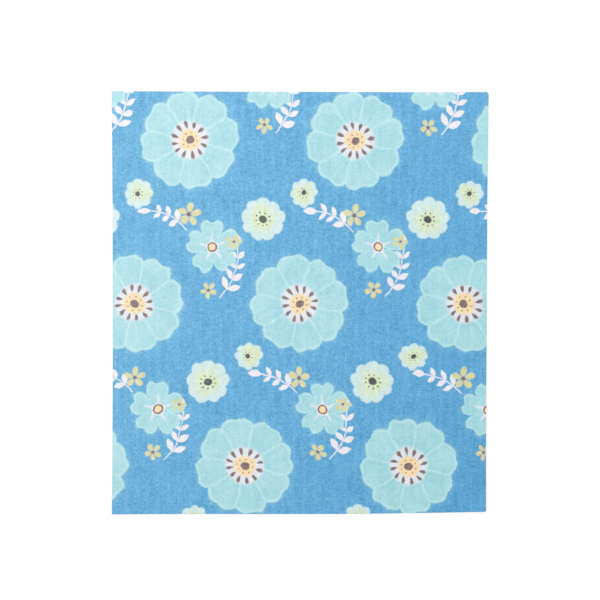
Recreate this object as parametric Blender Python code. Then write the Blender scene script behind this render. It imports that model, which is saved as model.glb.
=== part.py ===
"""A printed dishcloth: one sheet of dry cellulose sponge, cut square and embossed with straight ribs.

The sheet lies on the XY plane with its printed face up. X runs across the ribs and Y along them,
as the short and the long side of the cloth. The origin is under the middle of the sheet, on the
table that it lies on. Lengths are in metres.
"""

import bmesh
import bpy
from math import cos, pi, sqrt

# The sheet as it is cut
WIDTH = 0.1775
LENGTH = 0.200
CORNER_RADIUS = 0.0012
BODY_THICKNESS = 0.0016

# The ribs pressed into the printed face
RIB_PITCH = 0.00495
RIB_WIDTH = 0.0024
RIB_HEIGHT = 0.0001
RIB_EDGE_MARGIN = 0.0020

# How the dry sheet lies: a strip down the middle is flat on the table, both long sides curl up a
# little from it, and the corners curl up further
FLAT_WIDTH = 0.090
FLAT_LENGTH = 0.070
SIDE_CURL = 0.0007
FRONT_LEFT_LIFT = 0.0012
FRONT_RIGHT_LIFT = 0.0009
BACK_LEFT_LIFT = 0.0010
BACK_RIGHT_LIFT = 0.0026

# How finely the solid follows those shapes
RIB_STEPS = 4
CORNER_STEPS = 3
ROW_COUNT = 6
CLOSEST_COLUMNS = 0.00008

# The look of the dry sheet: its printed ground, matt and not metallic
GROUND_COLOUR = (0.162, 0.445, 0.708, 1.0)
ROUGHNESS = 0.95


def clear_scene():
    """Removes whatever the scene already holds."""
    for thing in list(bpy.data.objects):
        bpy.data.objects.remove(thing, do_unlink=True)


def rib_centres():
    """Places across the sheet of as many ribs as fit inside the margins, centred on the sheet."""
    count = int((WIDTH - 2 * RIB_EDGE_MARGIN) / RIB_PITCH) + 1
    first = -(count - 1) * RIB_PITCH / 2
    return [first + number * RIB_PITCH for number in range(count)]


def rib_height(x):
    """Height of the embossing at x: a rounded crown over each rib, and nothing between ribs."""
    nearest = min(abs(x - centre) for centre in rib_centres())
    if nearest >= RIB_WIDTH / 2:
        return 0.0
    return RIB_HEIGHT * cos(pi * nearest / RIB_WIDTH) ** 2


def column_places():
    """Places across the sheet where its section has a corner: the ribs, the round corners, the edges."""
    places = [-WIDTH / 2, WIDTH / 2]
    for step in range(1, CORNER_STEPS + 1):
        inset = CORNER_RADIUS * (1 - cos(pi / 2 * step / CORNER_STEPS))
        places += [inset - WIDTH / 2, WIDTH / 2 - inset]
    for centre in rib_centres():
        for step in range(RIB_STEPS + 1):
            places.append(centre + RIB_WIDTH * (step / RIB_STEPS - 0.5))
    spaced = []
    for place in sorted(places):
        if not spaced or place - spaced[-1] > CLOSEST_COLUMNS:
            spaced.append(place)
    return spaced


def half_length(x):
    """Half of the sheet's length at x, which is less within the round corners."""
    into_corner = max(0.0, abs(x) - (WIDTH / 2 - CORNER_RADIUS))
    rounding = CORNER_RADIUS - sqrt(max(0.0, CORNER_RADIUS**2 - into_corner**2))
    return LENGTH / 2 - rounding


def curl(distance, flat, half):
    """Share of a curl at a distance from the middle: 0 over the flat part, rising to 1 at the edge."""
    share = max(0.0, (abs(distance) - flat / 2) / (half - flat / 2))
    return share**2


def lie(x, y):
    """Height of the sheet's underside over the table."""
    if y < 0:
        corner = FRONT_LEFT_LIFT if x < 0 else FRONT_RIGHT_LIFT
    else:
        corner = BACK_LEFT_LIFT if x < 0 else BACK_RIGHT_LIFT
    across = curl(x, FLAT_WIDTH, WIDTH / 2)
    along = curl(y, FLAT_LENGTH, LENGTH / 2)
    return across * (SIDE_CURL + corner * along)


def sheet_mesh():
    """The sheet: a flat grid placed on the ribs and corners, given its thickness, then laid down."""
    columns = column_places()
    bm = bmesh.new()
    bmesh.ops.create_grid(bm, x_segments=len(columns) - 1, y_segments=ROW_COUNT, size=0.5)
    for vertex in bm.verts:
        x = columns[round((vertex.co.x + 0.5) * (len(columns) - 1))]
        y = 2 * vertex.co.y * half_length(x)
        vertex.co = (x, y, lie(x, y))
    upper = bmesh.ops.extrude_face_region(bm, geom=bm.faces[:])["geom"]
    for vertex in (item for item in upper if isinstance(item, bmesh.types.BMVert)):
        vertex.co.z += BODY_THICKNESS + rib_height(vertex.co.x)
    bmesh.ops.recalc_face_normals(bm, faces=bm.faces[:])
    mesh = bpy.data.meshes.new("dishcloth")
    bm.to_mesh(mesh)
    bm.free()
    return mesh


def sponge_cloth_material():
    """Dry cellulose sponge with its blue printed ground."""
    material = bpy.data.materials.new("printed_sponge_cloth")
    material.use_nodes = True
    shader = material.node_tree.nodes["Principled BSDF"]
    shader.inputs["Base Color"].default_value = GROUND_COLOUR
    shader.inputs["Roughness"].default_value = ROUGHNESS
    shader.inputs["Metallic"].default_value = 0.0
    material.diffuse_color = GROUND_COLOUR
    return material


def build():
    """Makes the dishcloth, the only piece there is."""
    clear_scene()
    cloth = bpy.data.objects.new("dishcloth", sheet_mesh())
    bpy.context.scene.collection.objects.link(cloth)
    cloth.data.materials.append(sponge_cloth_material())


build()
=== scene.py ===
"""Looks of a printed dishcloth: one sheet of dry cellulose sponge with embossed ribs, lying flat.

The sheet's width and length come from the frame. The other sizes and the colours are properties
of the groups below, which the panel in the 3D view shows. X runs across the ribs, Y along them
and Z up through the printed face. Lengths are in metres, and in millimetres where a name ends in
mm and inside the node groups that draw the print.
"""

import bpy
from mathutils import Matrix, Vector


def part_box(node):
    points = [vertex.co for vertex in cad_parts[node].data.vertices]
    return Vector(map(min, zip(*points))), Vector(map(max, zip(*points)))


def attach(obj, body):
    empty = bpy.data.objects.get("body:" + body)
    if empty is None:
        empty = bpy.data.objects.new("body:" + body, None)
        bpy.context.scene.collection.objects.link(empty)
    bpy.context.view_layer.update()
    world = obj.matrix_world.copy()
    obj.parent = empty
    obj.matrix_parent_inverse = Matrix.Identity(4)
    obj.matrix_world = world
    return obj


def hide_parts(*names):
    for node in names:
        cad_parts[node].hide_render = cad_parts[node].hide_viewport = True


bl_info = {
    "name": "Printed Dishcloth",
    "version": (1, 0, 0),
    "blender": (4, 5, 0),
    "location": "3D View > Sidebar > Dishcloth",
    "description": "Makes a ribbed sponge dishcloth with a floral print, and a white stage for it",
    "category": "Add Mesh",
}

from math import cos, pi, radians, sin

import bpy
import numpy as np
from bpy.props import FloatProperty, FloatVectorProperty, PointerProperty
from mathutils import Matrix, Vector

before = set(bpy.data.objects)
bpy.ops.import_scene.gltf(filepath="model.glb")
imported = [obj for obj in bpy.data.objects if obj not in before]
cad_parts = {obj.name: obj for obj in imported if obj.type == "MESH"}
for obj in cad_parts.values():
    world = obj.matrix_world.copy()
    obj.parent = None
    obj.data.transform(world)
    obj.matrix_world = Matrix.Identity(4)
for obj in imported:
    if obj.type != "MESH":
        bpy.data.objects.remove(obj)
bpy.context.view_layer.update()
SHEET_LOW, SHEET_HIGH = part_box("dishcloth")
MM = 0.001


def size(name, description, default, **limits):
    """A length that a user may change."""
    return FloatProperty(
        name=name, description=description, default=default, unit="LENGTH", precision=5, **limits
    )


def ink(name, description, red, green, blue):
    """A colour that a user may change, given as the 0 to 255 values of a screen."""
    screen = np.array((red, green, blue)) / 255
    linear = np.where(screen <= 0.04045, screen / 12.92, ((screen + 0.055) / 1.055) ** 2.4)
    return FloatVectorProperty(
        name=name,
        description=description,
        default=linear.tolist(),
        size=3,
        min=0.0,
        max=1.0,
        subtype="COLOR",
    )


class SheetSizes(bpy.types.PropertyGroup):
    """The sheet as it is cut and pressed, and how it lies."""

    width: size("Width", "Across the ribs", SHEET_HIGH[0] - SHEET_LOW[0])
    length: size("Length", "Along the ribs", SHEET_HIGH[1] - SHEET_LOW[1])
    thickness: size("Thickness", "Between two ribs", 0.0016)
    edge_rounding: size("Edge rounding", "Radius of the cut edge's two long arrises", 0.0002)
    corner_radius: size("Corner radius", "Round of the crisp corners in plan", 0.0004)
    worn_corner_radius: size("Worn corner radius", "Round of the back right corner", 0.0013)

    rib_pitch: size("Rib pitch", "From rib to rib", 0.00495)
    rib_width: size("Rib width", "Across one rib's crown", 0.0024)
    rib_height: size("Rib height", "Mean height of a rib over the sheet between ribs", 0.00010)
    rib_margin: size("Rib margin", "Least distance of a rib's middle from the side edge", 0.0020)

    left_hollow: size("Left hollow", "How far the left side bows in midway", 0.00043)
    right_hollow: size("Right hollow", "How far the right side bows in midway", 0.00013)
    front_run_off: size("Front run-off", "How far the front cut runs in at its right end", 0.0013)

    flat_width: size("Flat width", "Width of the strip down the middle that lies flat", 0.090)
    flat_length: size("Flat length", "Length between the parts that curl at the corners", 0.070)
    side_curl: size("Side curl", "Height of both side edges over the table", 0.0007)
    front_left_lift: size("Front left lift", "Height that this corner adds", 0.0012)
    front_right_lift: size("Front right lift", "Height that this corner adds", 0.0009)
    back_left_lift: size("Back left lift", "Height that this corner adds", 0.0010)
    back_right_lift: size("Back right lift", "Height that this corner adds", 0.0026)

    unevenness: size("Unevenness", "Depth of the dips that drying leaves in the face", 0.00007)
    edge_roughness: size("Edge roughness", "Depth of the open pores in the cut edge", 0.00009)


class PrintDesign(bpy.types.PropertyGroup):
    """The floral print: its repeat and its inks."""

    repeat_width: size("Repeat width", "From one blossom to the next in a row", 0.078)
    repeat_height: size("Repeat height", "From one row of blossoms to the next", 0.077)
    drop: size("Row shift", "How far each row stands to the side of the row before it", 0.026)
    wander: size("Outline wander", "How far hand drawing moves an outline", 0.0011)
    bleed: size("Ink bleed", "How far the ink creeps along the fibres", 0.00022)
    # Painted shading: the ink is made denser, so darker, towards the front right and paler towards
    # the back left, where the softbox is
    painted_shading: FloatProperty(
        name="Ink drift",
        description="Density that the ink gains from the back left to the front right corner",
        default=0.24,
    )

    ground: ink("Ground", "Blue printed ground", 107, 177, 220)
    petal: ink("Petal", "Aqua petals", 172, 223, 230)
    petal_rim: ink("Petal rim", "Paler rim and overlaps of the aqua petals", 202, 239, 241)
    petal_vein: ink("Petal vein", "Fine lines in the large petals", 152, 213, 222)
    white: ink("White", "Leaves, stems and halos", 243, 240, 246)
    peach: ink("Peach", "Middles of the aqua flowers", 252, 227, 184)
    brown: ink("Brown", "Seeds and eyes of the aqua and yellow flowers", 141, 122, 121)
    charcoal: ink("Charcoal", "Eyes of the cream flowers", 97, 98, 99)
    cream: ink("Cream", "Scalloped cream flowers", 214, 237, 238)
    lime: ink("Lime", "Glow round the eyes of the cream flowers", 221, 236, 201)
    yellow: ink("Yellow", "Small florets", 224, 220, 173)
    bare: ink("Bare sponge", "Unprinted underside and cut edge", 232, 236, 236)


class StageSettings(bpy.types.PropertyGroup):
    """Soft daylight on a white table, and the camera over it."""

    sky_strength: FloatProperty(
        name="Sky strength", description="Even light from all round", default=0.60, min=0.0
    )
    lamp_power: FloatProperty(
        name="Lamp power",
        description="Of the softbox at the upper left",
        default=3.5,
        min=0.0,
        unit="POWER",
    )
    lamp_side: size("Lamp side", "Side of the square softbox", 0.3)
    camera_height: size("Camera height", "Over the table", 1.0)
    lens_mm: FloatProperty(
        name="Lens", description="Focal length in millimetres", default=126.73, min=20.0
    )


# How finely the sheet's surface follows its shape
RIB_STEPS = 4
GAP_STEPS = 4
ROWS = 150
CORNER_STEPS = 4
CLOSEST_COLUMNS = 0.00006
ARRIS_ANGLES = radians(30), radians(60), radians(90)
WALL_STEPS = 3

# Soft noise: how many cells it has before it comes again, and the cell and the seed of each use
NOISE_CELLS = 64
CROWN_CELL, CROWN_SEED = 0.0035, 3
DIP_CELL, DIP_SEED = 0.0042, 5
PORE_CELL, PORE_SEED = 0.0007, 11

# A crown's least share of the rib height, and the most that the noise adds to it
LEAST_CROWN = 0.75
CROWN_RANGE = 0.5

# How far apart in the noise two loops of the cut edge are, and how much ink each loop loses
LOOP_SHIFT = 0.001
LOOP_FADE = 0.3


def soft_noise(x, y, cell, seed):
    """Random heights from 0 to 1, one at each corner of square cells, with smooth steps between.

    A smooth step is 3 times the square of the share of the way, less 2 times its cube.
    """
    table = np.random.default_rng(seed).random((NOISE_CELLS, NOISE_CELLS))
    column, row = np.floor(x / cell).astype(int), np.floor(y / cell).astype(int)
    across, along = x / cell - column, y / cell - row
    across, along = across**2 * (3 - 2 * across), along**2 * (3 - 2 * along)
    column, row = column % NOISE_CELLS, row % NOISE_CELLS
    next_column, next_row = (column + 1) % NOISE_CELLS, (row + 1) % NOISE_CELLS
    front = table[column, row] * (1 - across) + table[next_column, row] * across
    back = table[column, next_row] * (1 - across) + table[next_column, next_row] * across
    return front * (1 - along) + back * along


def rib_centres(sizes):
    """Middles of as many ribs as fit between the margins, centred on the sheet."""
    count = int((sizes.width - 2 * sizes.rib_margin) / sizes.rib_pitch) + 1
    return (np.arange(count) - (count - 1) / 2) * sizes.rib_pitch


def round_steps(radius):
    """Distances in from a straight edge at which a round corner of this radius has its points."""
    return radius * (1 - np.cos(np.linspace(0, pi / 2, CORNER_STEPS + 1)))


def columns(sizes):
    """Places across the face: the steps of each rib and gap, and of the corners at both ends."""
    half = sizes.width / 2 - sizes.edge_rounding
    foot = sizes.rib_width / 2
    crown = np.linspace(-foot, foot, RIB_STEPS + 1)
    gap = np.linspace(foot, sizes.rib_pitch - foot, GAP_STEPS + 1)[1:-1]
    pattern = np.concatenate((crown, gap))
    places = (rib_centres(sizes)[:, None] + pattern).ravel()
    radii = sizes.corner_radius, sizes.worn_corner_radius
    ends = half - np.concatenate([round_steps(radius) for radius in radii])
    places = np.sort(np.concatenate((places[np.abs(places) < half], ends, -ends)))
    apart = np.append(np.diff(places) > CLOSEST_COLUMNS, True)
    apart[0] = True
    places = places[apart]
    places[0], places[-1] = -half, half
    return places


def rounding(x, half, radius):
    """How far a round corner pulls the end edge in at x: an arc that meets the side edge."""
    into_corner = np.clip(np.abs(x) - (half - radius), 0, radius)
    return radius - np.sqrt(radius**2 - into_corner**2)


def plan(sizes):
    """Where the face's grid lies in plan.

    Each column runs from the front cut to the back cut. The cuts are straight lines, less the
    round corners and the front cut's run-off, which grows with the square of x. The side cuts bow
    in as 1 less the square of v, and only the columns outside the last ribs follow them, so the
    ribs stay straight.
    """
    x = columns(sizes)
    half_width = sizes.width / 2 - sizes.edge_rounding
    half_length = sizes.length / 2 - sizes.edge_rounding
    right = x > 0
    front = -half_length + rounding(x, half_width, sizes.corner_radius)
    front += right * sizes.front_run_off * (x / half_width) ** 2
    back_radius = np.where(right, sizes.worn_corner_radius, sizes.corner_radius)
    back = half_length - rounding(x, half_width, back_radius)
    v = np.linspace(-1, 1, ROWS + 1)
    y = front[:, None] + (back - front)[:, None] * (v + 1) / 2
    foot = rib_centres(sizes)[-1] + sizes.rib_width / 2
    outside = np.clip((np.abs(x) - foot) / (half_width - foot), 0, 1)
    inwards = outside * np.where(right, -sizes.right_hollow, sizes.left_hollow)
    return x[:, None] + inwards[:, None] * (1 - v**2), y


def curl(distance, flat, half):
    """Share of a curl: 0 over the flat part, then the share of the way to the edge, squared."""
    return np.maximum((np.abs(distance) - flat / 2) / (half - flat / 2), 0) ** 2


def lie(x, y, sizes):
    """Height of the underside over the table: both sides curl up, and more so at the corners."""
    front = np.where(x < 0, sizes.front_left_lift, sizes.front_right_lift)
    back = np.where(x < 0, sizes.back_left_lift, sizes.back_right_lift)
    corner = np.where(y < 0, front, back)
    across = curl(x, sizes.flat_width, sizes.width / 2)
    along = curl(y, sizes.flat_length, sizes.length / 2)
    return across * (sizes.side_curl + corner * along)


def rib_crowns(x, y, sizes):
    """Share of a rib's height: cosine squared round each rib's middle, uneven along the rib."""
    nearest = np.abs(x[..., None] - rib_centres(sizes)).min(-1)
    crown = np.cos(pi * np.clip(nearest / sizes.rib_width, 0, 0.5)) ** 2
    return crown * (LEAST_CROWN + CROWN_RANGE * soft_noise(x, y, CROWN_CELL, CROWN_SEED))


def boundary(across, along):
    """Numbers of a grid's outer points, anticlockwise from the front left one."""
    number = np.arange(across * along).reshape(across, along)
    return np.concatenate((number[:-1, 0], number[-1, :-1], number[:0:-1, -1], number[0, :0:-1]))


def grid_faces(across, along):
    """The grid's four-sided faces, each anticlockwise from above."""
    number = np.arange(across * along).reshape(across, along)
    corners = number[:-1, :-1], number[1:, :-1], number[1:, 1:], number[:-1, 1:]
    return np.stack(corners, -1).reshape(-1, 4)


def runs(outline):
    """Distance run along a closed outline at each of its points, and last the whole way round."""
    step = np.linalg.norm(np.roll(outline, -1, 0) - outline, axis=1)
    return np.concatenate(([0], np.cumsum(step)))


def edge_loops(upper, lower, sizes):
    """Loops of points down the cut edge, from the upper face's outer points to the lower face's.

    The profile is a quarter round, an upright wall and a quarter round. It is carried along the
    outline, and stands out from it along the outline's normal in plan. Noise opens pores in it.
    """
    radius = sizes.edge_rounding
    tangent = np.roll(upper, -1, 0)[:, :2] - np.roll(upper, 1, 0)[:, :2]
    normal = np.stack((tangent[:, 1], -tangent[:, 0]), 1)
    normal /= np.linalg.norm(normal, axis=1, keepdims=True)
    run = runs(upper)[:-1]
    out = [radius * sin(angle) for angle in ARRIS_ANGLES]
    down = [radius * (1 - cos(angle)) for angle in ARRIS_ANGLES]
    loops = [(stand, upper[:, 2] - drop) for stand, drop in zip(out, down)]
    for number in range(1, WALL_STEPS):
        share = number / WALL_STEPS
        height = (upper[:, 2] - radius) * (1 - share) + (lower[:, 2] + radius) * share
        loops.append((radius, height))
    loops += [(stand, lower[:, 2] + drop) for stand, drop in zip(out[::-1], down[::-1])]
    points = []
    for number, (stand, height) in enumerate(loops):
        pores = soft_noise(run, height + LOOP_SHIFT * number, PORE_CELL, PORE_SEED)
        depth = stand - sizes.edge_roughness * stand / radius * pores
        points.append(np.column_stack((upper[:, :2] + normal * depth[:, None], height)))
    return np.array(points)


# The UV map that colours are baked through, and its parts in shares of its side: left,
# low, wide and high
MAP_NAME = "OFBake"
PRINTED_FACE = 0.006, 0.006, 0.659, 0.742
LEFT_UNDERSIDE = 0.673, 0.006, 0.2255, 0.508
RIGHT_UNDERSIDE = 0.006, 0.756, 0.508, 0.2255
FRONT_EDGE = 0.907, 0.006, 0.0165, 0.977
EDGE_TO_EDGE = 0.0235


def on_map(part, across, up):
    """Places on the map at shares across and up one of its parts."""
    left, low, wide, high = part
    return np.stack(np.broadcast_arrays(left + wide * across, low + high * up), -1)


def unrolled(x, y, outline, rings, sizes):
    """Where the corners of the sheet's faces lie on the map.

    The printed face is one part, as seen from above. The underside is seen from below and halved
    down the middle, its right half turned by a quarter. Each side of the cut edge is a strip,
    with the rings of the edge across it in even steps and the side's run up it.
    """
    face = grid_faces(*x.shape)
    across, up = x.ravel()[face] / sizes.width, y.ravel()[face] / sizes.length + 0.5
    printed = on_map(PRINTED_FACE, across + 0.5, up)
    left, right = on_map(LEFT_UNDERSIDE, -2 * across, up), on_map(RIGHT_UNDERSIDE, up, 2 * across)
    underside = np.where(across.mean(1)[:, None, None] < 0, left, right)[:, ::-1]

    run = runs(outline)
    counts = np.array(x.shape * 2) - 1
    first = np.concatenate(([0], np.cumsum(counts)))
    side = np.repeat(np.arange(4), counts)
    start, end = run[first[side]], run[first[side + 1]]
    here, ahead = (run[:-1] - start) / (end - start), (run[1:] - start) / (end - start)
    down = (np.arange(rings - 1)[:, None, None] + (1, 1, 0, 0)) / (rings - 1)
    edge = on_map(FRONT_EDGE, down, np.stack((here, ahead, ahead, here), -1))
    edge[..., 0] += EDGE_TO_EDGE * side[:, None]
    return np.concatenate((printed, underside, edge.reshape(-1, 4, 2)))


def sheet_surface(sizes):
    """Points and faces of the closed sheet, each point's ink and rib, each corner's map place.

    The upper and lower face are the same grid in plan, the lower at the height at which the sheet
    lies, the upper a thickness higher with the ribs on it and dips in it. The edge loops close
    them. Ink covers the upper face, at 1, and fades down the cut edge. Rib is near 1 on a crown
    and 0 between ribs.
    """
    x, y = plan(sizes)
    across, along = x.shape
    resting = lie(x, y, sizes)
    dips = sizes.unevenness * soft_noise(x, y, DIP_CELL, DIP_SEED)
    lower = np.stack((x, y, resting), -1).reshape(-1, 3)
    crowns = rib_crowns(x, y, sizes)
    height = resting + sizes.thickness + sizes.rib_height * crowns - dips
    upper = np.stack((x, y, height), -1).reshape(-1, 3)
    rim = boundary(across, along)
    loops = edge_loops(upper[rim], lower[rim], sizes)
    points = np.concatenate((upper, lower, loops.reshape(-1, 3)))

    face = grid_faces(across, along)
    loop_points = 2 * len(upper) + np.arange(len(loops) * len(rim)).reshape(len(loops), -1)
    rings = np.concatenate((rim[None], loop_points, len(upper) + rim[None]))
    above, below = rings[:-1], rings[1:]
    wall = np.stack((below, np.roll(below, -1, 1), np.roll(above, -1, 1), above), -1)
    faces = np.concatenate((face, len(upper) + face[:, ::-1], wall.reshape(-1, 4)))

    soaked, crown = np.zeros(len(points)), np.zeros(len(points))
    soaked[: len(upper)] = 1.0
    ink_left = np.clip(1 - LOOP_FADE * np.arange(1, len(loops) + 1), 0, 1)
    soaked[2 * len(upper) :] = np.repeat(ink_left, len(rim))
    crown[: len(upper)] = crowns.ravel()
    corners = unrolled(x, y, upper[rim], len(rings), sizes)
    return points, faces, {"soaked": soaked, "crown": crown}, corners


class Field:
    """A number that varies over the surface. Arithmetic on it adds nodes to its node tree."""

    def __init__(self, tree, socket):
        self.tree = tree
        self.socket = socket

    def maths(self, operation, *others):
        node = add(self.tree, "ShaderNodeMath", operation=operation)
        plug_all(self.tree, node.inputs, (self, *others))
        return Field(self.tree, node.outputs["Value"])

    def __add__(self, other):
        return self.maths("ADD", other)

    def __sub__(self, other):
        return self.maths("SUBTRACT", other)

    def __mul__(self, other):
        return self.maths("MULTIPLY", other)

    def __truediv__(self, other):
        return self.maths("DIVIDE", other)

    def __abs__(self):
        return self.maths("ABSOLUTE")

    def squared(self):
        return self * self

    def within(self, other):
        """The distance from what two shapes share, each given by its distance."""
        return self.maths("MAXIMUM", other)

    def taken_from(self, number):
        """The number less this field."""
        return self.maths("MULTIPLY_ADD", -1.0, number)

    def ramp(self, start, end, low=0.0, high=1.0):
        """Low where the field is at start, high where it is at end, a smooth step between them."""
        node = add(self.tree, "ShaderNodeMapRange", interpolation_type="SMOOTHSTEP")
        plug_all(self.tree, node.inputs, (self, start, end, low, high))
        return Field(self.tree, node.outputs["Result"])


def plug(tree, socket, value):
    """Joins a field or an output to the socket, or sets the socket to a plain value."""
    if isinstance(value, Field):
        value = value.socket
    if isinstance(value, bpy.types.NodeSocket):
        tree.links.new(value, socket)
    else:
        socket.default_value = value


def plug_all(tree, sockets, values):
    """Plugs the values into the first sockets, in order."""
    for socket, value in zip(sockets, values):
        plug(tree, socket, value)


def add(tree, kind, inputs=None, **settings):
    """A new node of a kind with its settings, its named or numbered inputs plugged."""
    node = tree.nodes.new(kind)
    for name, value in settings.items():
        setattr(node, name, value)
    for name, value in (inputs or {}).items():
        plug(tree, node.inputs[name], value)
    return node


def vectors(tree, operation, first, second):
    """Two vectors put together by an operation of the Vector Math node."""
    node = add(tree, "ShaderNodeVectorMath", {0: first, 1: second}, operation=operation)
    return node.outputs["Vector"]


def scaled(tree, vector, factor):
    """The vector times a number."""
    node = add(tree, "ShaderNodeVectorMath", {0: vector, "Scale": factor}, operation="SCALE")
    return node.outputs["Vector"]


# The Mix node's sockets for colours: its factor and the two colours, and its result
COLOUR_MIX_INPUTS = 0, 6, 7
COLOUR_MIX_OUTPUT = 2


def mixed(tree, factor, below, above, blend="MIX"):
    """Two colours mixed or blended by a factor."""
    node = add(tree, "ShaderNodeMix", data_type="RGBA", blend_type=blend)
    sockets = [node.inputs[number] for number in COLOUR_MIX_INPUTS]
    plug_all(tree, sockets, (factor, below, above))
    return node.outputs[COLOUR_MIX_OUTPUT]


def noise(tree, place, periods, detail=2.0, output="Fac"):
    """Smooth noise from 0 to 1, with one period in millimetres for each axis."""
    place = vectors(tree, "MULTIPLY", place, tuple(1 / period for period in periods))
    inputs = {"Vector": place, "Scale": 1.0, "Detail": detail}
    return add(tree, "ShaderNodeTexNoise", inputs).outputs[output]


def noise_field(tree, place, periods, detail=2.0):
    """Smooth noise from 0 to 1 as a field."""
    return Field(tree, noise(tree, place, periods, detail))


def shaken(tree, place, period, reach):
    """The place, moved at random along each axis by up to the reach. All is in millimetres."""
    shake = noise(tree, place, (period,) * 3, 0.0, "Color")
    centred = vectors(tree, "SUBTRACT", shake, (0.5, 0.5, 0.5))
    return vectors(tree, "ADD", place, scaled(tree, centred, 2 * reach))


def attribute(tree, name):
    """A number that the mesh holds at its points."""
    return Field(tree, add(tree, "ShaderNodeAttribute", attribute_name=name).outputs["Fac"])


def x_and_y(tree, vector):
    """The first two parts of a vector, as fields."""
    parts = add(tree, "ShaderNodeSeparateXYZ", {"Vector": vector}).outputs
    return Field(tree, parts["X"]), Field(tree, parts["Y"])


def colour_of(ink):
    """An ink as a colour with its fourth part."""
    return (*ink, 1.0)


NODE_COLUMN, NODE_ROW = 220, 190


def arrange(tree):
    """Sets the nodes out in columns, each as far to the left as its longest way to the output."""
    depth = {node: 0 for node in tree.nodes}
    for _ in tree.nodes:
        moved = False
        for link in tree.links:
            wanted = depth[link.to_node] + 1
            if depth[link.from_node] < wanted:
                depth[link.from_node] = wanted
                moved = True
        if not moved:
            break
    filled = {}
    for node, column in depth.items():
        row = filled.get(column, 0)
        filled[column] = row + 1
        node.location = (-NODE_COLUMN * column, -NODE_ROW * row)


def new_group(name, inputs, outputs):
    """An empty node group, its named inputs as outputs of its input node, and its output node."""
    tree = bpy.data.node_groups.new(name, "ShaderNodeTree")
    for label, kind in inputs.items():
        tree.interface.new_socket(label, in_out="INPUT", socket_type="NodeSocket" + kind)
    for label, kind in outputs.items():
        tree.interface.new_socket(label, in_out="OUTPUT", socket_type="NodeSocket" + kind)
    given = tree.nodes.new("NodeGroupInput").outputs
    return tree, given, tree.nodes.new("NodeGroupOutput").inputs


def motif_group(name, numbers, outputs):
    """A node group for a motif: it takes a place and named numbers, and gives named numbers.

    Returns the group, its x and y, its other inputs as fields, and its outputs.
    """
    inputs = {"Place": "Vector", **dict.fromkeys(numbers, "Float")}
    tree, given, result = new_group(name, inputs, dict.fromkeys(outputs, "Float"))
    return tree, x_and_y(tree, given["Place"]), [Field(tree, given[n]) for n in numbers], result


def repeat_group(design):
    """The surface as each motif sees it, with its own middle as the origin of every repeat.

    The row is the nearest whole number of repeat heights. Each row is shifted to the side by the
    drop, and within a row the place is taken to the nearest whole number of repeat widths.
    """
    inputs = {"Place": "Vector", "Middle": "Vector"}
    tree, given, result = new_group("Dropped repeat", inputs, {"Place": "Vector"})
    x, y = x_and_y(tree, vectors(tree, "SUBTRACT", given["Place"], given["Middle"]))
    width, height, drop = design.repeat_width / MM, design.repeat_height / MM, design.drop / MM
    row = (y / height).maths("ROUND")
    y = y - row * height
    x = x - row * drop
    x = x - (x / width).maths("ROUND") * width
    place = add(tree, "ShaderNodeCombineXYZ", {"X": x, "Y": y}).outputs["Vector"]
    plug(tree, result["Place"], place)
    arrange(tree)
    return tree


LEAST_SPREAD = 0.2
NOTCH_SLOPE = 2.0


def petal_ring_group():
    """Petals set evenly round a middle, in millimetres.

    The plane is folded so that every petal lies on the first one's axis. A petal is an oval at
    the reach from the middle, wider outwards by the taper. Its notch is a wedge on the axis, half
    as wide as the petal, that deepens outwards. Distance is how far a place is outside its petal,
    and below 0 inside. Seam is how far it is from the line where two petals meet.
    """
    numbers = "Petals", "Turn", "Reach", "Half length", "Half width", "Taper", "Notch"
    tree, (x, y), fields, result = motif_group("Petal ring", numbers, ("Distance", "Seam"))
    petals, turn, reach, half_length, half_width, taper, notch = fields
    angle = y.maths("ARCTAN2", x) - turn
    half_sector = petals.maths("POWER", -1.0) * pi
    sector = half_sector * 2.0
    fold = angle - (angle / sector).maths("ROUND") * sector
    radius = (x.squared() + y.squared()).maths("SQRT")
    along = (radius * fold.maths("COSINE") - reach) / half_length
    across = radius * fold.maths("SINE") / half_width
    spread = (along * taper + 1.0).maths("MAXIMUM", LEAST_SPREAD)
    oval = (along.squared() + (across / spread).squared()).maths("SQRT")
    wedge = (abs(across) * NOTCH_SLOPE).taken_from(1.0).maths("MAXIMUM", 0.0)
    oval = oval + wedge * along.maths("MAXIMUM", 0.0) * notch
    plug(tree, result["Distance"], (oval - 1.0) * half_length.maths("MINIMUM", half_width))
    plug(tree, result["Seam"], radius * (half_sector - abs(fold)).maths("SINE"))
    arrange(tree)
    return tree


LEAF_LEAN = radians(48)
LEAF_SHRINK = 0.10
TIP_MIDDLE = 0.45
STEM_HALF_WIDTH_MM = 0.27


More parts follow.
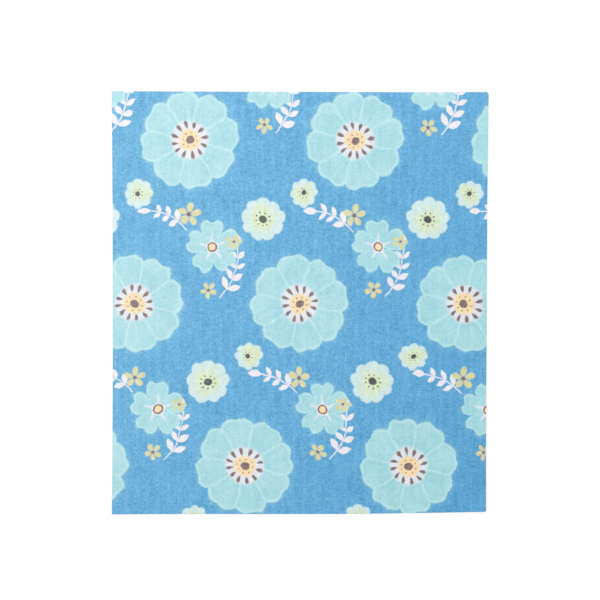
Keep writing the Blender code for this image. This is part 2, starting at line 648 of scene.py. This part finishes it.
def sprig_group():
    """An arched stem with pairs of leaves and one leaf at its tip, in millimetres.

    The stem is an arc of the bend radius. A place is told by the length along the arc and the
    height over it, so both leaves of a pair are one shape: a lens, leaning from the stem, between
    two parabolas. Each cell along the stem but the first holds one pair, smaller towards the tip.
    """
    numbers = "Turn", "Bend radius", "Half length", "Pairs", "Leaf length", "Leaf width"
    tree, (x, y), fields, result = motif_group("Arched sprig", numbers, ("Distance",))
    turn, bend, half_length, pairs, leaf_length, leaf_width = fields
    cosine, sine = turn.maths("COSINE"), turn.maths("SINE")
    x, y = x * cosine + y * sine + bend, y * cosine - x * sine
    run = y.maths("ARCTAN2", x) * bend
    height = abs((x.squared() + y.squared()).maths("SQRT") - bend)
    stem = (height - STEM_HALF_WIDTH_MM).within(abs(run) - half_length)

    from_foot = run + half_length
    gap = half_length * 2.0 / pairs
    pair = (from_foot / gap).maths("FLOOR").maths("MAXIMUM", 0.0).maths("MINIMUM", pairs - 1.0)
    into_cell = from_foot - pair * gap
    shrunk = (pair * LEAF_SHRINK).taken_from(1.0)
    half_leaf = leaf_length * shrunk * 0.5
    along = into_cell * cos(LEAF_LEAN) + height * sin(LEAF_LEAN)
    across = height * cos(LEAF_LEAN) - into_cell * sin(LEAF_LEAN)
    share = (along - half_leaf - STEM_HALF_WIDTH_MM) / half_leaf
    leaf = abs(across) - share.squared().taken_from(1.0) * leaf_width * shrunk
    in_first_cell = pair.maths("LESS_THAN", 0.5)
    leaf = leaf + in_first_cell * leaf_length

    from_tip = from_foot - half_length * 2.0
    share = (from_tip - leaf_length * TIP_MIDDLE) / (leaf_length * 0.5)
    tip = height - share.squared().taken_from(1.0) * leaf_width
    plug(tree, result["Distance"], stem.maths("MINIMUM", leaf).maths("MINIMUM", tip))
    arrange(tree)
    return tree


def ink_group():
    """One layer of ink over the colour under it, where the distance to its shape is below 0."""
    inputs = {"Under": "Color", "Ink": "Color"}
    inputs.update({"Distance": "Float", "Softness": "Float", "Strength": "Float"})
    tree, given, result = new_group("Ink layer", inputs, {"Colour": "Color"})
    softness = Field(tree, given["Softness"])
    outside = Field(tree, given["Distance"])
    cover = outside.ramp(softness, softness * -1.0, 0.0, given["Strength"])
    plug(tree, result["Colour"], mixed(tree, cover, given["Under"], given["Ink"]))
    arrange(tree)
    return tree


# The paler wash in petals: its patches' period, the range of its distance, its edge and strength
WASH_PERIOD_MM = 8.0
WASH_RANGE_MM = 12.0
WASH_SOFTNESS_MM = 2.5
WASH_STRENGTH = 0.3


class Print:
    """A floral print that is drawn layer by layer in one node tree. Lengths are in millimetres."""

    def __init__(self, tree, place, design):
        self.tree = tree
        self.place = place
        self.design = design
        self.repeat = repeat_group(design)
        self.petals = petal_ring_group()
        self.sprig = sprig_group()
        self.layer = ink_group()
        patches = noise_field(tree, place, (WASH_PERIOD_MM,) * 3, 0.0)
        self.wash = (patches - 0.5) * -WASH_RANGE_MM
        self.colour = colour_of(design.ground)

    def group(self, tree, *values):
        """Outputs of a node that holds the group, with the values plugged in order."""
        node = add(self.tree, "ShaderNodeGroup", node_tree=tree)
        plug_all(self.tree, node.inputs, values)
        return node.outputs

    def around(self, x, y):
        """The repeated place, as a motif sees it whose middle is at x and y."""
        return self.group(self.repeat, self.place, (x, y, 0.0))["Place"]

    def petals_and_seams(self, place, petals, turn, reach, half_length, half_width, taper, notch):
        """Distance from a ring of petals, and from the seams between them."""
        shape = reach, half_length, half_width, taper, notch
        outputs = self.group(self.petals, place, petals, radians(turn), *shape)
        return Field(self.tree, outputs["Distance"]), Field(self.tree, outputs["Seam"])

    def ring(self, place, petals, turn, reach, half_length, half_width, taper=0.0, notch=0.0):
        """Distance from a ring of petals."""
        shape = reach, half_length, half_width, taper, notch
        return self.petals_and_seams(place, petals, turn, *shape)[0]

    def from_middle(self, place):
        """Distance from a motif's middle."""
        length = add(self.tree, "ShaderNodeVectorMath", {0: place}, operation="LENGTH")
        return Field(self.tree, length.outputs["Value"])

    def lay(self, ink, distance, softness=0.3, strength=1.0):
        """Puts one more layer of ink over the colours so far."""
        inputs = self.colour, colour_of(ink), distance, softness, strength
        self.colour = self.group(self.layer, *inputs)["Colour"]

    def lay_petals(self, edge, rim_inset, rim_half_width, rim_softness, rim_strength):
        """Aqua petals, with a paler wash in patches and a paler rim inside their edge."""
        design = self.design
        self.lay(design.petal, edge, softness=0.35)
        self.lay(design.petal_rim, edge.within(self.wash), WASH_SOFTNESS_MM, WASH_STRENGTH)
        rim = edge.within(abs(edge + rim_inset) - rim_half_width)
        self.lay(design.petal_rim, rim, rim_softness, rim_strength)

    def blossom(self, x, y, turn):
        """A large aqua flower: eight broad petals, cleft at the tip, round a seeded middle."""
        design, place = self.design, self.around(x, y)
        edge, seam = self.petals_and_seams(
            place, 8, turn, reach=13.6, half_length=10.1, half_width=8.1, taper=0.25, notch=0.16
        )
        middle = self.from_middle(place)
        self.lay_petals(
            edge, rim_inset=0.6, rim_half_width=0.4, rim_softness=0.4, rim_strength=0.55
        )
        seam_half_width, seam_start, seam_end = 0.35, 8.5, 0.8
        overlap = (seam - seam_half_width).within(middle.taken_from(seam_start))
        self.lay(design.petal_rim, overlap.within(edge + seam_end), strength=0.8)
        veins = self.ring(place, 24, turn, reach=13.0, half_length=4.4, half_width=0.22)
        self.lay(design.petal_vein, veins, softness=0.25, strength=0.4)
        halo, disc, eye = 8.8, 4.9, 1.9
        self.lay(design.white, middle - halo, softness=1.2, strength=0.8)
        self.lay(design.peach, middle - disc, softness=0.4)
        drops = self.ring(
            place, 12, turn, reach=6.9, half_length=1.75, half_width=0.75, taper=0.5
        )
        self.lay(design.brown, drops, softness=0.25)
        seeds = self.ring(place, 8, turn + 22.5, reach=3.3, half_length=0.42, half_width=0.32)
        self.lay(design.brown, seeds, softness=0.2, strength=0.8)
        self.lay(design.brown, middle - eye, softness=0.35)

    def primrose(self, x, y, turn):
        """A middling aqua flower: five heart-shaped petals with white rays round a ringed eye."""
        design, place = self.design, self.around(x, y)
        edge = self.ring(
            place, 5, turn, reach=7.6, half_length=5.6, half_width=5.0, taper=0.35, notch=0.42
        )
        middle = self.from_middle(place)
        self.lay_petals(
            edge, rim_inset=0.5, rim_half_width=0.35, rim_softness=0.35, rim_strength=0.5
        )
        rays = self.ring(place, 5, turn, reach=4.0, half_length=2.6, half_width=0.5)
        self.lay(design.white, rays, strength=0.8)
        halo, ringed, eye = 2.9, 2.3, 1.55
        self.lay(design.white, middle - halo, softness=0.4)
        self.lay(design.brown, middle - ringed)
        self.lay(design.peach, middle - eye)

    def scallop(self, x, y, turn, petals, scale=1.0):
        """A cream flower with a scalloped outline, a lime glow and a dark eye ringed by seeds."""
        design, place = self.design, self.around(x, y)
        disc, glow, eye = 6.6 * scale, 6.3 * scale, 1.9 * scale
        edge = self.ring(
            place, petals, turn, reach=disc, half_length=3.6 * scale, half_width=3.4 * scale
        )
        middle = self.from_middle(place)
        self.lay(design.cream, edge.maths("MINIMUM", middle - disc), softness=0.45)
        self.lay(design.lime, middle + self.wash * 0.5 - glow, softness=2.4 * scale)
        rays = self.ring(
            place, petals, turn, reach=5.4 * scale, half_length=1.9 * scale, half_width=0.24 * scale
        )
        self.lay(design.white, rays, softness=0.25, strength=0.7)
        self.lay(design.charcoal, middle - eye, softness=0.35)
        half_seed, between = 0.36 * scale, turn + 180 / petals
        seeds = self.ring(
            place, petals, between, reach=3.3 * scale, half_length=half_seed, half_width=half_seed
        )
        self.lay(design.charcoal, seeds, softness=0.2)

    def floret(self, x, y, turn, scale=1.0):
        """A small yellow flower: five round petals and a brown eye."""
        design, place = self.design, self.around(x, y)
        reach, half_length, half_width, eye = 3.1 * scale, 2.2 * scale, 1.45 * scale, 0.95 * scale
        edge = self.ring(place, 5, turn, reach, half_length, half_width, taper=0.2)
        self.lay(design.yellow, edge)
        self.lay(design.brown, self.from_middle(place) - eye)

    def leaves(self, x, y, turn, bend, half_length, pairs, leaf_length, leaf_width):
        """A white arched sprig."""
        shape = bend, half_length, pairs, leaf_length, leaf_width
        outputs = self.group(self.sprig, self.around(x, y), radians(turn), *shape)
        self.lay(self.design.white, Field(self.tree, outputs["Distance"]), softness=0.25)


def draw_print(tree, place, design):
    """All motifs of one repeat, from the lowest layer to the highest."""
    floral = Print(tree, place, design)
    floral.leaves(
        -31, 14, turn=-20, bend=30, half_length=13, pairs=5, leaf_length=7.0, leaf_width=1.7
    )
    floral.leaves(
        17, 41, turn=62, bend=26, half_length=10, pairs=4, leaf_length=6.0, leaf_width=1.5
    )
    floral.blossom(0, 0, turn=10)
    floral.primrose(37, 27, turn=20)
    floral.scallop(-17.5, 40, turn=10, petals=9)
    floral.scallop(2, 52, turn=0, petals=8, scale=0.66)
    floral.floret(26, 42, turn=15)
    floral.floret(35, 6.5, turn=50, scale=0.75)
    floral.floret(-31, 29, turn=0, scale=0.7)
    return floral.colour


# Periods in millimetres of how far outlines wander and how far ink bleeds
WANDER_PERIOD_MM = 9.0
BLEED_PERIOD_MM = 0.8

# The sponge's structure: periods in millimetres across the sheet, along it and through it
ACROSS_FIBRES_MM = 1.7, 0.65, 0.65
ALONG_FIBRES_MM = 0.65, 1.5, 0.65
FINE_FIBRES_MM = 0.6, 0.6, 0.6
STREAKS_MM = 0.8, 12.0, 0.8
BLOTCHES_MM = 6.0, 9.0, 6.0
FIBRE_DETAIL = 4.0
PORES_PER_MM = 2.1
PORE_RAGGEDNESS = 0.8
PORE_BOTTOM, PORE_RIM = 0.08, 0.42

# Each structure's share of the grain
FIBRE_GRAIN = 0.65
STREAK_GRAIN = 0.10
BLOTCH_GRAIN = 0.06
# Painted shade in the pores: how much darker they are
PORE_PAINTED_SHADE = 0.045

# Brightness up to which an ink is dark and from which it is pale, and what shows on each
DARK, PALE = 0.4, 0.7
GRAIN_ON_DARK, GRAIN_ON_PALE = 1.0, 0.54
# How much lighter the rib crowns are on dark and on pale inks: partly thinner ink, partly a painted
# highlight
CROWN_ON_DARK, CROWN_ON_PALE = 0.0205, 0.008

# What the grain does to the ink's density and to the light, and the look of the bare sponge
THINNING = 1.5
LIGHTENING = 1.3
SHOW_THROUGH = 0.10
# Painted shade in the pores of the bare sponge
BARE_PORE_PAINTED_SHADE = 0.16

# The painted shading's slope along the sheet against that across it
PAINTED_SHADING_ALONG = 0.5

# The fine relief
FIBRE_RELIEF = 1.4
PORE_RELIEF = 0.4
RELIEF_STRENGTH = 0.6
RELIEF_DEPTH = 0.00012


def painted_shading_at(tree, place, design):
    """The density that the painted shading adds at a place: darker ink away from the softbox.

    It is half the painted shading at the front right corner and minus half of it at the back left
    one, with even steps between.
    """
    x, y = x_and_y(tree, place)
    width, length = (SHEET_HIGH[axis] - SHEET_LOW[axis] for axis in (0, 1))
    corner_to_corner = (width + PAINTED_SHADING_ALONG * length) / MM
    return (x - y * PAINTED_SHADING_ALONG) * (design.painted_shading / corner_to_corner)


def sponge_material(design):
    """Dry sponge cloth: the print, the fibre grain over it and bare sponge where no ink reaches.

    Where the grain is above 0, at fibres and on the ribs' crowns, the surface is lighter and the
    ink thinner, and in the pores it is below 0. On the crowns the lightening is partly thinner ink
    and partly a painted highlight, and in the pores the darkening is painted shade. Pale inks show
    less of it. The ink's colour to the power of its density is what a clear dye of that density
    shows on white. The density also grows from the back left to the front right corner: painted
    shading, lighter near the softbox and darker away from it.
    """
    material = bpy.data.materials.new("printed_sponge_cloth")
    material.use_nodes = True
    tree = material.node_tree
    shader = tree.nodes["Principled BSDF"]
    coordinates = add(tree, "ShaderNodeTexCoord")
    place = scaled(tree, coordinates.outputs["Object"], 1 / MM)

    drawn = shaken(tree, place, WANDER_PERIOD_MM, design.wander / MM)
    drawn = shaken(tree, drawn, BLEED_PERIOD_MM, design.bleed / MM)
    colour = draw_print(tree, drawn, design)

    across = noise_field(tree, place, ACROSS_FIBRES_MM, FIBRE_DETAIL)
    along = noise_field(tree, place, ALONG_FIBRES_MM, FIBRE_DETAIL)
    fine = noise_field(tree, place, FINE_FIBRES_MM, FIBRE_DETAIL)
    streak = noise_field(tree, place, STREAKS_MM)
    blotch = noise_field(tree, place, BLOTCHES_MM)
    cells = add(tree, "ShaderNodeTexVoronoi", {"Vector": drawn, "Scale": PORES_PER_MM})
    ragged = (blotch + across + fine - 1.5) * PORE_RAGGEDNESS
    pore = (Field(tree, cells.outputs["Distance"]) + ragged).ramp(PORE_BOTTOM, PORE_RIM, 1.0, 0.0)
    fibres = (across + along + fine) / 3.0 - 0.5

    grain = fibres * FIBRE_GRAIN + (streak - 0.5) * STREAK_GRAIN + (blotch - 0.5) * BLOTCH_GRAIN
    brightness = Field(tree, add(tree, "ShaderNodeRGBToBW", {"Color": colour}).outputs["Val"])
    shown = brightness.ramp(DARK, PALE, GRAIN_ON_DARK, GRAIN_ON_PALE)
    # Rib crowns lighter: partly thinner ink and partly a painted highlight on the crowns
    crown = attribute(tree, "crown") * brightness.ramp(DARK, PALE, CROWN_ON_DARK, CROWN_ON_PALE)
    # Painted shade darkens the pores
    grain = (grain - pore * PORE_PAINTED_SHADE) * shown + crown

    # Painted shading: the ink grows denser, so darker, away from the softbox at the back left
    density = (grain * THINNING).taken_from(1.0) + painted_shading_at(tree, place, design)
    thinned = add(tree, "ShaderNodeGamma", {"Color": colour, "Gamma": density}).outputs["Color"]
    printed = mixed(tree, 1.0, thinned, grain * LIGHTENING + 1.0, "MULTIPLY")
    bare = mixed(tree, SHOW_THROUGH, colour_of(design.bare), colour)
    # Painted shade darkens the bare sponge's pores
    bare = mixed(tree, 1.0, bare, grain + 1.0 - pore * BARE_PORE_PAINTED_SHADE, "MULTIPLY")
    surface = mixed(tree, attribute(tree, "soaked"), bare, printed)
    plug(tree, shader.inputs["Base Color"], surface)

    relief = fibres * FIBRE_RELIEF - pore * PORE_RELIEF
    inputs = {"Height": relief, "Strength": RELIEF_STRENGTH, "Distance": RELIEF_DEPTH}
    bump = add(tree, "ShaderNodeBump", inputs)
    plug(tree, shader.inputs["Normal"], bump.outputs["Normal"])
    shader.inputs["Roughness"].default_value = 0.92
    shader.inputs["Specular IOR Level"].default_value = 0.3
    shader.inputs["Sheen Weight"].default_value = 0.08
    shader.inputs["Sheen Roughness"].default_value = 0.5
    arrange(tree)
    return material


def mesh_piece(name, points, faces):
    """A smooth-shaded object made of the points and faces, at the origin."""
    mesh = bpy.data.meshes.new(name)
    mesh.from_pydata(points, [], faces)
    mesh.shade_smooth()
    piece = bpy.data.objects.new(name, mesh)
    bpy.context.scene.collection.objects.link(piece)
    return piece


class DISHCLOTH_OT_sheet(bpy.types.Operator):
    """Makes the sheet of sponge cloth with its ribs, its cut edge and its printed face"""

    bl_idname = "dishcloth.sheet"
    bl_label = "Sponge sheet"

    def execute(self, context):
        sizes = context.scene.dishcloth_sizes
        points, faces, shares, corners = sheet_surface(sizes)
        cloth = mesh_piece("sponge_sheet", points, faces)
        cloth.data.uv_layers.new(name=MAP_NAME).data.foreach_set("uv", corners.ravel())
        for name, values in shares.items():
            cloth.data.attributes.new(name, "FLOAT", "POINT").data.foreach_set("value", values)
        cloth.data.materials.append(sponge_material(context.scene.dishcloth_print))
        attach(cloth, "root")
        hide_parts("dishcloth")
        return {"FINISHED"}


FLOOR_SIDE = 8.0
FLOOR_DEPTH = 0.0003
LAMP_PLACE = Vector((-0.30, 0.33, 0.75))
CAMERA_PLACE = (-0.01266, 0.03523)
CAMERA_TARGET = (0.00019, 0.00168)
CAMERA_ROLL = 0.00237

# The table's paint, and how strongly and by what share it glows where it is seen
TABLE_COLOUR = (0.9, 0.9, 0.9, 1.0)
WHITE = (1.0, 1.0, 1.0, 1.0)
GLOW_STRENGTH = 1.05
GLOW_SHARE = 0.87


def seen_directly(tree):
    """1 for what the camera, a reflection or clear glass sees, 0 for light on the object."""
    path = add(tree, "ShaderNodeLightPath").outputs
    seen = Field(tree, path["Is Camera Ray"]) + Field(tree, path["Is Glossy Ray"])
    return (seen + Field(tree, path["Is Transmission Ray"])).maths("MINIMUM", 1.0)


def mixed_shaders(tree, factor, first, second):
    """Two shaders mixed by a factor."""
    return add(tree, "ShaderNodeMixShader", {0: factor, 1: first, 2: second}).outputs["Shader"]


def floor_material():
    """White table: matt for the light, and nearly even white where seen, with soft shadows."""
    material = bpy.data.materials.new("white_table")
    material.use_nodes = True
    tree = material.node_tree
    tree.nodes.remove(tree.nodes["Principled BSDF"])
    matt = add(tree, "ShaderNodeBsdfDiffuse", {"Color": TABLE_COLOUR}).outputs["BSDF"]
    glow = add(tree, "ShaderNodeEmission", {"Color": WHITE, "Strength": GLOW_STRENGTH})
    shadowed = mixed_shaders(tree, GLOW_SHARE, matt, glow.outputs["Emission"])
    white = mixed_shaders(tree, seen_directly(tree), matt, shadowed)
    plug(tree, tree.nodes["Material Output"].inputs["Surface"], white)
    arrange(tree)
    return material


def sky(strength):
    """Even light from all round, which looks plain white where it is seen."""
    world = bpy.data.worlds.new("even_sky")
    world.use_nodes = True
    tree = world.node_tree
    background = tree.nodes["Background"]
    level = seen_directly(tree) * (1.0 - strength) + strength
    plug(tree, background.inputs["Color"], WHITE)
    plug(tree, background.inputs["Strength"], level)
    arrange(tree)
    return world


def softbox(stage):
    """A square lamp at the upper left that faces the sheet."""
    lamp = bpy.data.lights.new("softbox", "AREA")
    lamp.energy = stage.lamp_power
    lamp.size = stage.lamp_side
    holder = bpy.data.objects.new("softbox", lamp)
    holder.location = LAMP_PLACE
    holder.visible_camera = False
    holder.rotation_euler = LAMP_PLACE.to_track_quat("Z", "Y").to_euler()
    return holder


def overhead_camera(stage):
    """A long lens over the sheet, a little towards its back left corner."""
    camera = bpy.data.cameras.new("overhead_camera")
    camera.lens = stage.lens_mm
    holder = bpy.data.objects.new("overhead_camera", camera)
    place = Vector((*CAMERA_PLACE, stage.camera_height))
    ahead = (Vector((*CAMERA_TARGET, 0.0)) - place).normalized()
    right = ahead.cross(Vector((0.0, 1.0, 0.0))).normalized()
    facing = Matrix((right, right.cross(ahead), -ahead)).transposed()
    turned = facing @ Matrix.Rotation(CAMERA_ROLL, 3, "Z")
    holder.matrix_world = Matrix.Translation(place) @ turned.to_4x4()
    return holder


class DISHCLOTH_OT_stage(bpy.types.Operator):
    """Makes the white table, the soft light and the camera over the sheet"""

    bl_idname = "dishcloth.stage"
    bl_label = "White stage"

    def execute(self, context):
        stage = context.scene.dishcloth_stage
        half = FLOOR_SIDE / 2
        signs = (-1, -1), (1, -1), (1, 1), (-1, 1)
        corners = [(x * half, y * half, -FLOOR_DEPTH) for x, y in signs]
        table = mesh_piece("white_table", corners, [(0, 1, 2, 3)])
        table.data.materials.append(floor_material())
        context.scene.world = sky(stage.sky_strength)
        context.scene.collection.objects.link(softbox(stage))
        camera = overhead_camera(stage)
        context.scene.collection.objects.link(camera)
        context.scene.camera = camera
        bpy.context.scene.view_settings.view_transform = "Standard"
        return {"FINISHED"}


class DISHCLOTH_PT_panel(bpy.types.Panel):
    """Makes the pieces, and shows their sizes and colours"""

    bl_label = "Printed Dishcloth"
    bl_space_type = "VIEW_3D"
    bl_region_type = "UI"
    bl_category = "Dishcloth"

    def draw(self, context):
        for operator, owner in (
            (DISHCLOTH_OT_sheet, context.scene.dishcloth_sizes),
            (None, context.scene.dishcloth_print),
            (DISHCLOTH_OT_stage, context.scene.dishcloth_stage),
        ):
            box = self.layout.box()
            if operator:
                box.operator(operator.bl_idname)
            for name in owner.__annotations__:
                box.prop(owner, name)


CLASSES = (
    SheetSizes,
    PrintDesign,
    StageSettings,
    DISHCLOTH_OT_sheet,
    DISHCLOTH_OT_stage,
    DISHCLOTH_PT_panel,
)


def register():
    for each in CLASSES:
        bpy.utils.register_class(each)
    bpy.types.Scene.dishcloth_sizes = PointerProperty(type=SheetSizes)
    bpy.types.Scene.dishcloth_print = PointerProperty(type=PrintDesign)
    bpy.types.Scene.dishcloth_stage = PointerProperty(type=StageSettings)


def unregister():
    del bpy.types.Scene.dishcloth_sizes
    del bpy.types.Scene.dishcloth_print
    del bpy.types.Scene.dishcloth_stage
    for each in reversed(CLASSES):
        bpy.utils.unregister_class(each)


def main():
    register()
    bpy.ops.dishcloth.sheet()
    bpy.ops.dishcloth.stage()


if __name__ == "__main__":
    main()
